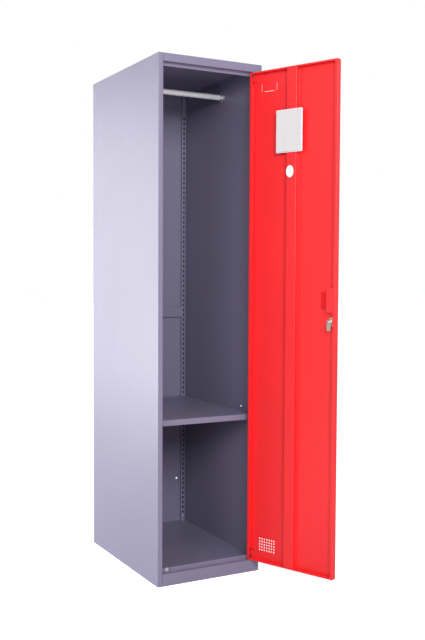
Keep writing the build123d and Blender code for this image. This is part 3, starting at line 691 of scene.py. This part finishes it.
def moulded(name, colour, roughness=0.35):
    """Moulded plastic or rubber: a fine spark-eroded grain with faint flow marks."""
    plastic = Finish(name, colour, roughness=roughness, ior=1.46)
    flow = plastic.noise(14 * MM, detail=2, stretch=(1, 1, 0.4))
    grain = plastic.noise(0.5 * MM, detail=2)
    drift = plastic.ranged(flow, 0, 1)
    plastic.give("Base Color", plastic.mixed(drift, shade(colour, 0.94), shade(colour, 1.03)))
    plastic.give("Roughness", plastic.ranged(grain, roughness - 0.05, roughness + 0.08))
    plastic.bump(grain, 0.02 * MM)
    return plastic.material


def silvered_glass(name, colour):
    """Mirror: clear bright silvering with a breath of dust."""
    glass = Finish(name, colour, metallic=1.0, roughness=0.03)
    dust = glass.noise(0.03, detail=4)
    smear = glass.noise(0.02, detail=2, stretch=(1, 1, 0.3), turn=(0.4, 0.2, 0))
    glass.give("Roughness", glass.ranged(dust, 0.015, 0.09))
    glass.give("Base Color", glass.mixed(glass.ranged(smear, 0, 0.6), colour, shade(colour, 0.93)))
    return glass.material


def worn_lock_metal(name, colour, brass):
    """Nickel plate that has worn through to brass on the high spots."""
    metal = Finish(name, colour, metallic=1.0, roughness=0.28)
    wear = metal.noise(5 * MM, detail=4)
    scratches = metal.noise(0.5 * MM, detail=3, stretch=(1, 1, 0.15))
    metal.give("Base Color", metal.mixed(metal.ranged(wear, 0, 1, 0.42, 0.6), colour, brass))
    metal.give("Roughness", metal.ranged(scratches, 0.2, 0.42))
    metal.bump(scratches, 0.015 * MM)
    return metal.material


MATERIALS = {}


def material(look):
    """The finish of a slot, or of a piece that looks unlike its slot, made once."""
    paint = bpy.context.scene.locker_paint
    # Box round the inside of the right rear upright, behind its slotted face, darkened as painted shade for the
    # slots.
    low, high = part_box("rear_upright_right")
    gap = 0.4 * MM
    channel = (("X", low.x + gap, high.x + gap), ("Y", low.y + 3 * gap, high.y + gap))
    makers = {
        "cabinet_paint": lambda: powder_coat("cabinet_powder_coat", paint.cabinet_colour, painted_shade_box=channel),
        "cabinet_shelves": lambda: powder_coat("shelf_powder_coat", paint.cabinet_colour, scuffed=True),
        "door_paint": lambda: powder_coat("door_powder_coat", paint.door_colour),
        "rail_chrome": lambda: drawn_chrome("rail_chrome", (0.97, 0.96, 1.0)),
        "socket_zinc": lambda: zinc("socket_zinc", (0.66, 0.64, 0.72), 0.45),
        "screw_zinc": lambda: zinc("screw_zinc", (0.6, 0.6, 0.63)),
        "cam_zinc": lambda: zinc("cam_zinc", (0.5, 0.43, 0.36), 0.42),
        "pin_steel": lambda: zinc("pin_steel", (0.2, 0.13, 0.13), 0.45),
        "rivet_steel": lambda: zinc("rivet_steel", (0.1, 0.08, 0.085), 0.45),
        "bush_nylon": lambda: moulded("bush_nylon", (0.72, 0.71, 0.67), 0.45),
        "buffer_rubber": lambda: moulded("buffer_rubber", (0.42, 0.41, 0.47), 0.4),
        "white_plastic": lambda: moulded("white_plastic", (0.88, 0.86, 0.88), 0.3),
        "mirror_glass": lambda: silvered_glass("mirror_silver", (0.97, 0.94, 0.96)),
        "lock_metal": lambda: worn_lock_metal("lock_metal", (0.66, 0.62, 0.58), (0.6, 0.42, 0.22)),
    }
    if look not in MATERIALS:
        MATERIALS[look] = makers[look]()
    return MATERIALS[look]


def paint_nodes(look, names):
    """Gives carried-over nodes their finish."""
    for name in names:
        mesh = frame["nodes"][name].data
        mesh.materials.clear()
        mesh.materials.append(material(look))


# -------- operators: painted sheet metal


class LOCKER_OT_cabinet(bpy.types.Operator):
    """Paint the cabinet's panels, rails and uprights"""

    bl_idname = "locker.cabinet"
    bl_label = "Cabinet Paint"

    def execute(self, context):
        panels = ("left_side_panel", "right_side_panel", "roof_panel", "header_rail", "plinth_rail")
        back = ("lower_back_panel", "upper_back_panel", "back_cross_rail")
        uprights = [f"{end}_upright_{side}" for end in ("rear", "front") for side in ("left", "right")]
        paint_nodes("cabinet_paint", (*panels, *back, *uprights))
        paint_nodes("cabinet_shelves", ("floor_panel", "shelf"))
        paint_nodes("screw_zinc", ("shelf_clips_rear", "shelf_clips_front"))
        return {"FINISHED"}


class LOCKER_OT_door(bpy.types.Operator):
    """Paint the door's skin, stiffener, handle cup and hinge plates"""

    bl_idname = "locker.door"
    bl_label = "Door Paint"

    def execute(self, context):
        names = ("door_panel", "door_stiffener", "handle_cup", "hinge_plate_upper", "hinge_plate_lower")
        paint_nodes("door_paint", names)
        return {"FINISHED"}


class LOCKER_OT_welds(bpy.types.Operator):
    """Mark the spot welds along the cabinet's seams and the door's stiffener"""

    bl_idname = "locker.welds"
    bl_label = "Spot Welds"

    def execute(self, context):
        seam, fold, ends = 7.5 * MM, 2.2 * MM, 60 * MM
        rows = []
        for side, sign in SIDES:
            low, high, _ = world_box(f"{side}_side_panel")
            x = (low.x if sign < 0 else high.x) - sign * seam
            rows.append(((x, high.y, low.z + ends), (x, high.y, high.z - ends), (0, 1, 0)))
            low, high, _ = world_box(f"rear_upright_{side}")
            x = (high.x if sign < 0 else low.x) + sign * fold
            rows.append(((x, low.y, low.z + ends), (x, low.y, high.z - ends), (0, -1, 0)))
        add_welds("cabinet_welds", "cabinet", "cabinet_paint", rows)

        low, high, _ = door_box("door_stiffener")
        leg = 5 * MM
        rows = []
        for along in (low.x + leg, high.x - leg):
            start, end = (DOOR @ Vector((along, up, low.z + SHEET)) for up in (low.y + ends, high.y - ends))
            rows.append((start, end, inwards()))
        add_welds("door_welds", "door", "door_paint", rows)
        return {"FINISHED"}


class LOCKER_OT_vents(bpy.types.Operator):
    """Round over the punched edges of the door's vents"""

    bl_idname = "locker.vents"
    bl_label = "Vent Rims"

    def execute(self, context):
        columns, rows = 7, 5
        pitch_x, pitch_y = 10.4 * MM, 10 * MM
        centre_along, centre_up = 75 * MM, 104.5 * MM
        hole, rim = 2.8 * MM, 0.2 * MM
        values = {
            "Columns": columns, "Rows": rows, "Width": (columns - 1) * pitch_x,
            "Height": (rows - 1) * pitch_y, "Rim Middle": hole + rim, "Rim Radius": rim,
            "Material": material("door_paint"),
        }
        tree = grid_tree()
        faces = [
            moved(grown(tree, "vent_rims", values), on_door(centre_along, centre_up, depth))
            for depth in (0.0, SHEET)
        ]
        add_piece("vent_rims", joined(faces, "vent_rims"), "door", "door_paint")
        return {"FINISHED"}


# -------- operators: hanging rail


class LOCKER_OT_rail(bpy.types.Operator):
    """Make the hanging rail and its two sockets"""

    bl_idname = "locker.rail"
    bl_label = "Hanging Rail"

    def execute(self, context):
        low, high, centre = world_box("hanging_rail")
        radius = (high.z - low.z) / 2
        length, wall = high.x - low.x, 1.2 * MM
        profile = [(radius - wall, 0), (radius, 0), (radius, length), (radius - wall, length)]
        tube = turned("rail_tube", rounded(profile, 0.3 * MM), ring=True)
        moved(tube, facing((low.x, centre.y, centre.z), (1, 0, 0)))
        add_piece("rail_tube", tube, "cabinet", "rail_chrome", "hanging_rail")

        collar, flange = radius + 3 * MM, 2 * MM
        for side, sign in SIDES:
            node = f"rail_socket_{side}"
            low, high, _ = world_box(node)
            outer = (high.z - low.z) / 2
            reach = high.x - low.x
            profile = [
                (radius, 0), (outer, 0, 0), (outer, flange * 0.7, 0.5 * MM), (outer - 1.2 * MM, flange),
                (collar + 1.5 * MM, flange, 0.8 * MM), (collar, flange + 2.2 * MM, 0.8 * MM),
                (collar, reach, 0.9 * MM), (radius, reach, 0.5 * MM),
            ]
            cast = turned(node, rounded(profile, 0.3 * MM), ring=True)
            wall_x = low.x if sign < 0 else high.x
            moved(cast, facing((wall_x, centre.y, centre.z), (-sign, 0, 0)))
            add_piece(f"{node}_cast", cast, "cabinet", "socket_zinc", node)
        return {"FINISHED"}


# -------- operators: fasteners


def pan_head(radius, height, shank, grip, steps=28):
    """Pan-head screw with a cross recess: its head stands on Z = 0."""
    angles = [math.pi / 2 * i / 7 for i in range(7)]
    dome = [(radius * math.cos(a), height * math.sin(a) ** 0.8) for a in angles]
    head = turned("pan_head", [(0, -grip), (shank, -grip), (shank, 0), *dome, (0, height)], steps)
    x, y = radius * 0.55, radius * 0.13
    lift = Matrix.Translation((0, 0, height * 0.3))
    cutters = []
    for turn in (0, math.pi / 2):
        bar = plate("recess", [(-x, -y), (x, -y), (x, y), (-x, y)], height)
        cutters.append(moved(bar, Matrix.Rotation(turn, 4, "Z") @ lift))
    return carved(head, cutters)


def loose_parts(node):
    """Lowest corner, highest corner and middle of each separate solid in a node."""
    bm = bmesh.new()
    bm.from_mesh(frame["nodes"][node].data)
    bmesh.ops.remove_doubles(bm, verts=bm.verts, dist=1e-6)
    left = set(bm.verts)
    boxes = []
    while left:
        todo = [left.pop()]
        found = []
        while todo:
            vert = todo.pop()
            found.append(vert.co.copy())
            for edge in vert.link_edges:
                other = edge.other_vert(vert)
                if other in left:
                    left.remove(other)
                    todo.append(other)
        boxes.append(box_of(found))
    bm.free()
    return sorted(boxes, key=lambda box: tuple(round(c, 5) for c in box[0]))


class LOCKER_OT_screws(bpy.types.Operator):
    """Set the cross-head screws of the rail sockets and the uprights"""

    bl_idname = "locker.screws"
    bl_label = "Screws"

    def execute(self, context):
        radius, height, shank, socket = 3.6 * MM, 1.8 * MM, 2.0 * MM, 2 * MM
        places = []
        for low, high, centre in loose_parts("rail_socket_screws"):
            sign = 1 if low.x > 0 else -1
            seat = high.x - socket if sign > 0 else low.x + socket
            places.append(((seat, centre.y, centre.z), (-sign, 0, 0)))
        screw = pan_head(radius, height, shank, 1.9 * MM)
        add_fasteners("rail_screws", screw, places, 3, "cabinet", "screw_zinc", "rail_socket_screws")

        feet = loose_parts("upright_screws")
        places = [((centre.x, low.y + height, centre.z), (0, -1, 0)) for low, _, centre in feet]
        screw = pan_head(radius, height, shank, 5.9 * MM)
        add_fasteners("foot_screws", screw, places, 5, "cabinet", "screw_zinc", "upright_screws")
        return {"FINISHED"}


class LOCKER_OT_rivets(bpy.types.Operator):
    """Set the blind rivets of the hinge plates"""

    bl_idname = "locker.rivets"
    bl_label = "Hinge Rivets"

    def execute(self, context):
        head, dome, shank, grip = 2.8 * MM, 1.3 * MM, 1.6 * MM, 2.4 * MM
        profile = [
            (0, -grip), (shank, -grip), (shank, 0), (head, 0), (head * 0.98, dome * 0.35),
            (head * 0.8, dome * 0.75), (head * 0.5, dome), (head * 0.36, dome), (head * 0.33, dome * 0.55),
            (0, dome * 0.5),
        ]
        node = "hinge_plate_rivets"
        places = []
        for _, _, centre in loose_parts(node):
            seat = DOOR.inverted() @ centre
            seat.z = door_box(node)[1].z - dome
            places.append((DOOR @ seat, inwards()))
        add_fasteners("hinge_rivets", turned("rivet", profile, 24), places, 2, "door", "rivet_steel", node)
        return {"FINISHED"}


class LOCKER_OT_hinges(bpy.types.Operator):
    """Turn the hinge pins and their nylon bushes"""

    bl_idname = "locker.hinges"
    bl_label = "Hinge Pins and Bushes"

    def execute(self, context):
        nose, play = 0.6 * MM, 0.06 * MM
        for place in ("upper", "lower"):
            node = f"hinge_pin_{place}"
            low, high, centre = world_box(node)
            radius = (high.x - low.x) / 2
            profile = [(0, low.z), (radius, low.z, nose), (radius, high.z, nose), (0, high.z)]
            pin = turned(node, rounded(profile, 0, 4))
            moved(pin, Matrix.Translation((centre.x, centre.y, 0)))
            add_piece(f"{node}_turned", pin, "door", "screw_zinc", node, "pin_steel")
        bore = radius + play
        for rail, upward, lip in (("header", -1, 1.0 * MM), ("plinth", 1, 1.8 * MM)):
            node = f"{rail}_hinge_bush"
            low, high, centre = world_box(node)
            flange = (high.x - low.x) / 2
            barrel = flange - 1.0 * MM
            back, face = (low.z, high.z) if upward > 0 else (high.z, low.z)
            seat = face - upward * lip
            profile = [
                (bore, back), (barrel, back, 0.3 * MM), (barrel, seat, 0), (flange, seat, 0.2 * MM),
                (flange, face, 0.3 * MM), (bore, face, 0.3 * MM),
            ]
            bush = turned(node, rounded(profile, 0), ring=True)
            moved(bush, Matrix.Translation((centre.x, centre.y, 0)))
            add_piece(f"{node}_moulded", bush, "cabinet", "bush_nylon", node)
        return {"FINISHED"}


# -------- operators: mirror, disc, buffer


class LOCKER_OT_mirror(bpy.types.Operator):
    """Make the mirror's glass with a ground edge, and its holder"""

    bl_idname = "locker.mirror"
    bl_label = "Mirror"

    def execute(self, context):
        low, high, centre = door_box("mirror_holder")
        glass_low, glass_high, _ = door_box("mirror_glass")
        size, glass_size = high - low, glass_high - glass_low
        blank = plate("mirror_frame", oblong(size.x, size.y, 3 * MM), size.z, 0.7 * MM)
        well = plate("well", oblong(glass_size.x, glass_size.y, 1 * MM), size.z)
        moved(well, Matrix.Translation((0, 0, glass_low.z - low.z)))
        tray = moved(carved(blank, [well]), on_door(centre.x, centre.y, low.z))
        add_piece("mirror_frame", tray, "door", "white_plastic", "mirror_holder")

        bevel = context.scene.locker_fittings.glass_bevel
        play, edge = 0.05 * MM, 0.35 * MM
        width, height = glass_size.x - 2 * play, glass_size.y - 2 * play
        full = oblong(width, height, 1 * MM)
        ground = oblong(width - 2 * bevel, height - 2 * bevel, 0.6 * MM)
        layers = [(full, 0), (full, glass_size.z - edge), (ground, glass_size.z)]
        pane = finish_mesh(stack(layers), "mirror_pane", 0.01)
        moved(pane, on_door(centre.x, centre.y, glass_low.z))
        add_piece("mirror_pane", pane, "door", "mirror_glass", "mirror_glass")
        return {"FINISHED"}


class LOCKER_OT_disc(bpy.types.Operator):
    """Make the oval number disc, blank, with a raised rim"""

    bl_idname = "locker.disc"
    bl_label = "Number Disc"

    def execute(self, context):
        low, high, centre = door_box("number_disc")
        half_width, half_height = (high.x - low.x) / 2, (high.y - low.y) / 2
        thick = high.z - low.z
        rim, lip = 2.2 * MM, 0.5 * MM
        profile = [
            (0, 0), (1, 0), (1, thick * 0.6), (1 - 0.3 * rim / half_width, thick * 0.93),
            (1 - 0.55 * rim / half_width, thick), (1 - 0.8 * rim / half_width, thick),
            (1 - rim / half_width, thick - lip), (0, thick - lip),
        ]
        bm = lathe(profile, 64)
        bmesh.ops.scale(bm, vec=(half_width, half_height, 1), verts=bm.verts)
        disc = finish_mesh(bm, "number_oval", math.radians(40))
        moved(disc, on_door(centre.x, centre.y, low.z))
        add_piece("number_oval", disc, "door", "white_plastic", "number_disc")
        return {"FINISHED"}


class LOCKER_OT_buffer(bpy.types.Operator):
    """Make the rubber buffer that the closed door meets"""

    bl_idname = "locker.buffer"
    bl_label = "Door Buffer"

    def execute(self, context):
        low, high, centre = world_box("door_buffer")
        radius, thick = (high.x - low.x) / 2, high.y - low.y
        profile = [
            (0, 0), (radius, 0), (radius, thick * 0.35), (radius * 0.93, thick * 0.8),
            (radius * 0.82, thick), (radius * 0.68, thick), (radius * 0.55, thick * 0.7),
            (radius * 0.28, thick * 0.62), (0, thick * 0.6),
        ]
        buffer = turned("door_buffer", profile)
        moved(buffer, facing((centre.x, high.y, centre.z), (0, -1, 0)))
        add_piece("door_buffer_moulded", buffer, "cabinet", "buffer_rubber", "door_buffer")
        return {"FINISHED"}


# -------- operators: lock


class LOCKER_OT_lock(bpy.types.Operator):
    """Make the cam lock: threaded barrel, nut, plug with a keyway, cam and screw"""

    bl_idname = "locker.lock"
    bl_label = "Cam Lock"

    def execute(self, context):
        low, high, centre = door_box("lock_barrel")
        plug_low, plug_high, _ = door_box("lock_plug")
        cam_low, cam_high, _ = door_box("lock_cam")
        plug = (plug_high.x - plug_low.x) / 2
        barrel = 9.5 * MM

        def place(mesh, depth=0.0):
            return moved(mesh, on_door(centre.x, centre.y, depth))

        body = self.threaded_barrel(low, high, plug + 0.08 * MM, barrel)
        add_piece("lock_barrel_threaded", place(body), "door", "lock_metal", "lock_barrel")
        nut, depth = self.nut(barrel)
        add_piece("lock_nut_chamfered", place(nut, depth), "door", "lock_metal", "lock_nut")
        keyed = self.plug(plug, plug_low.z, cam_low.z, cam_high.z)
        add_piece("lock_plug_keyed", place(keyed), "lock", "lock_metal", "lock_plug")
        cam = self.cam(cam_low, cam_high, centre.y - cam_low.y)
        add_piece("lock_cam_pressed", place(cam, cam_low.z), "lock", "screw_zinc", "lock_cam", "cam_zinc")
        low, high, _ = door_box("lock_cam_screw")
        screw = pan_head((high.x - low.x) / 2, high.z - cam_high.z, 2 * MM, 5.9 * MM, 36)
        add_piece("lock_cam_screw_cross", place(screw, cam_high.z), "lock", "screw_zinc", "lock_cam_screw")
        return {"FINISHED"}

    def threaded_barrel(self, low, high, bore, barrel):
        """Bezel and barrel with a thread wound round the root."""
        bezel, root = (high.x - low.x) / 2, barrel - 0.55 * MM
        start, run_out = 6.2 * MM, 1.4 * MM
        profile = [
            (bore, low.z, 0.3 * MM), (bezel - 1.2 * MM, low.z, 0.6 * MM), (bezel, low.z + 1.4 * MM, 0.5 * MM),
            (bezel, 0, 0), (barrel, 0, 0), (barrel, 1.2 * MM, 0.2 * MM), (root, 1.8 * MM, 0.1 * MM),
            (root, high.z - 0.6 * MM, 0), (root - 0.6 * MM, high.z, 0), (bore, high.z, 0),
        ]
        body = turned("lock_barrel", rounded(profile, 0), ring=True)
        pitch = bpy.context.scene.locker_fittings.thread_pitch
        values = {
            "Radius": root, "Length": high.z - start - run_out, "Pitch": pitch, "Depth": 0.54 * MM,
            "Material": material("lock_metal"),
        }
        thread = moved(grown(thread_tree(), "thread", values), Matrix.Translation((0, 0, start)))
        return joined([body, thread], "lock_barrel")

    def nut(self, barrel):
        """Chamfered hexagon nut, and its depth on the door."""
        low, high, _ = door_box("lock_nut")
        flats, thick, chamfer = (high.y - low.y) / 2, high.z - low.z, 0.9 * MM
        corner = flats / math.cos(math.pi / 6)
        angles = [math.tau * i / 6 for i in range(6)]
        hexagon = [(corner * math.cos(a), corner * math.sin(a)) for a in angles]
        blank = [(0, 0), (flats, 0), (corner, chamfer), (corner, thick - chamfer), (flats, thick), (0, thick)]
        nut = carved(plate("lock_nut", hexagon, thick), [turned("blank", blank)], "INTERSECT")
        hole = [(0, -thick), (barrel, -thick), (barrel, 2 * thick), (0, 2 * thick)]
        return carved(nut, [turned("hole", hole)]), low.z

    def plug(self, radius, face, back, end):
        """Plug with a keyway in its dished face and a square stem behind it."""
        dish = 0.35 * MM
        profile = [
            (0, face + dish), (radius - 1.1 * MM, face + dish), (radius - 0.7 * MM, face),
            (radius, face + 0.4 * MM), (radius, back), (0, back),
        ]
        keyway = plate("keyway", oblong(1.8 * MM, 7.5 * MM, 0.4 * MM), 12 * MM)
        moved(keyway, Matrix.Translation((0, 0, face - 1 * MM)))
        keyed = carved(turned("lock_plug", profile), [keyway])
        stem = plate("stem", oblong(8 * MM, 8 * MM, 0.5 * MM), end - back)
        return joined([keyed, moved(stem, Matrix.Translation((0, 0, back)))], "lock_plug")

    def cam(self, low, high, reach):
        """Pressed cam with a round head, a long tail and a square hole."""
        half, thick = (high.x - low.x) / 2, high.z - low.z
        tail = [(-half, -reach, 3 * MM), (half, -reach, 3 * MM)]
        outline = [(-half, half, half * 0.98), *tail, (half, half, half * 0.98)]
        cam = plate("lock_cam", rounded(outline, 0, 8), thick, 0.35 * MM)
        square = plate("square", oblong(8.1 * MM, 8.1 * MM, 0.5 * MM), 4 * thick)
        return carved(cam, [moved(square, Matrix.Translation((0, 0, -thick)))])


# -------- operators: stage


class LOCKER_OT_stage(bpy.types.Operator):
    """Set up the floor, the light and the camera"""

    bl_idname = "locker.stage"
    bl_label = "Stage"

    def execute(self, context):
        studio = context.scene.locker_studio
        self.lay_floor(studio)
        self.light(context, studio)
        self.aim_camera(context, studio)
        context.scene.view_settings.view_transform = "Standard"
        return {"FINISHED"}

    def lay_floor(self, studio):
        """Pale floor with a trace of grain, wide enough to have no edge in view."""
        reach = 30.0
        corners = [(-reach, -reach, 0), (reach, -reach, 0), (reach, reach, 0), (-reach, reach, 0)]
        mesh = bpy.data.meshes.new("floor")
        mesh.from_pydata(corners, [], [(0, 1, 2, 3)])
        floor = temporary(mesh)
        colour = tuple(studio.floor_colour)
        pale = Finish("pale_floor", colour, roughness=0.7)
        grain = pale.noise(0.4, detail=3)
        pale.give("Base Color", pale.mixed(grain, shade(colour, 0.985), shade(colour, 1.01)))
        seen = pale.tree.nodes.new("ShaderNodeLightPath").outputs["Is Camera Ray"]
        pale.shader.inputs["Emission Color"].default_value = (1, 1, 1, 1)
        pale.give("Emission Strength", pale.times(seen, studio.floor_lift))
        mesh.materials.append(pale.material)

    def light(self, context, studio):
        """White surroundings, a high softbox in front, one at the front left, two at the rear left."""
        world = bpy.data.worlds.new("studio")
        world.use_nodes = True
        tree = world.node_tree
        sky = tree.nodes["Background"]
        sky.inputs["Color"].default_value = (1, 1, 1, 1)
        path = tree.nodes.new("ShaderNodeLightPath")
        gloss = add_node(
            tree, "ShaderNodeMapRange",
            [("Value", path.outputs["Is Glossy Ray"]), ("To Min", studio.sky), ("To Max", studio.sheen)],
        )
        inputs = [(0, gloss), (1, path.outputs["Is Camera Ray"])]
        feed(tree, add_node(tree, "ShaderNodeMath", inputs, operation="MAXIMUM"), sky.inputs["Strength"])
        context.scene.world = world
        boxes = (
            ("front_softbox", (1.3, 1.3), (-0.9, -3.4, 2.15), (0.05, -0.2, 1.0), studio.front_power),
            ("left_softbox", (1.4, 1.6), (-2.8, -2.2, 1.7), (0.1, -0.3, 1.0), studio.left_power),
            ("low_softbox", (1.2, 0.6), (-2.6, 1.7, 0.4), (-0.2, 0.0, 0.35), studio.low_power),
            ("rear_softbox", (3.4, 3.2), (-3.1, 3.7, 0.95), (-0.2, 0.1, 0.8), studio.rear_power),
        )
        for name, size, place, target, power in boxes:
            softbox = bpy.data.lights.new(name, "AREA")
            softbox.shape = "RECTANGLE"
            softbox.size, softbox.size_y = size
            softbox.energy = power
            lamp = bpy.data.objects.new(name, softbox)
            lamp.location = place
            aim = Vector(target) - lamp.location
            lamp.rotation_euler = aim.to_track_quat("-Z", "Y").to_euler()
            lamp.visible_camera = False
            context.scene.collection.objects.link(lamp)

    def aim_camera(self, context, studio):
        """Camera at standing height, to the left of the open locker."""
        camera = bpy.data.cameras.new("camera")
        camera.lens = studio.lens
        camera.sensor_width = 36
        camera.clip_end = 200
        eye = bpy.data.objects.new("camera", camera)
        yaw, pitch, roll = math.radians(28.51), math.radians(-2.80), math.radians(0.27)
        turn = Matrix.Rotation(-yaw, 4, "Z") @ Matrix.Rotation(math.pi / 2 + pitch, 4, "X")
        turn = turn @ Matrix.Rotation(roll, 4, "Z")
        eye.matrix_world = Matrix.Translation((-1.497, -3.069, 1.062)) @ turn
        context.scene.collection.objects.link(eye)
        context.scene.camera = eye


# -------- panel and registration

STEPS = (
    LOCKER_OT_cabinet,
    LOCKER_OT_door,
    LOCKER_OT_welds,
    LOCKER_OT_vents,
    LOCKER_OT_rail,
    LOCKER_OT_screws,
    LOCKER_OT_rivets,
    LOCKER_OT_hinges,
    LOCKER_OT_mirror,
    LOCKER_OT_disc,
    LOCKER_OT_buffer,
    LOCKER_OT_lock,
    LOCKER_OT_stage,
)
GROUPS = (
    ("locker_paint", LockerPaint),
    ("locker_fittings", LockerFittings),
    ("locker_studio", LockerStudio),
)


class LOCKER_PT_maker(bpy.types.Panel):
    """Lists the locker's pieces and settings"""

    bl_idname = "LOCKER_PT_maker"
    bl_label = "School Locker"
    bl_space_type = "VIEW_3D"
    bl_region_type = "UI"
    bl_category = "Locker"

    def draw(self, context):
        for step in STEPS:
            self.layout.operator(step.bl_idname)
        for group, _ in GROUPS:
            settings = getattr(context.scene, group)
            box = self.layout.box()
            for key in settings.__annotations__:
                box.prop(settings, key)


def register():
    for group, kind in GROUPS:
        bpy.utils.register_class(kind)
        setattr(bpy.types.Scene, group, bpy.props.PointerProperty(type=kind))
    for kind in (*STEPS, LOCKER_PT_maker):
        bpy.utils.register_class(kind)


def unregister():
    for kind in reversed((*STEPS, LOCKER_PT_maker)):
        bpy.utils.unregister_class(kind)
    for group, kind in reversed(GROUPS):
        delattr(bpy.types.Scene, group)
        bpy.utils.unregister_class(kind)


def run_step(kind):
    """Calls one operator and stops if it didn't finish."""
    group, name = kind.bl_idname.split(".")
    if getattr(getattr(bpy.ops, group), name)() != {"FINISHED"}:
        raise RuntimeError(f"{kind.bl_label} did not finish")


def main():
    register()
    for kind in STEPS:
        run_step(kind)


if __name__ == "__main__":
    main()
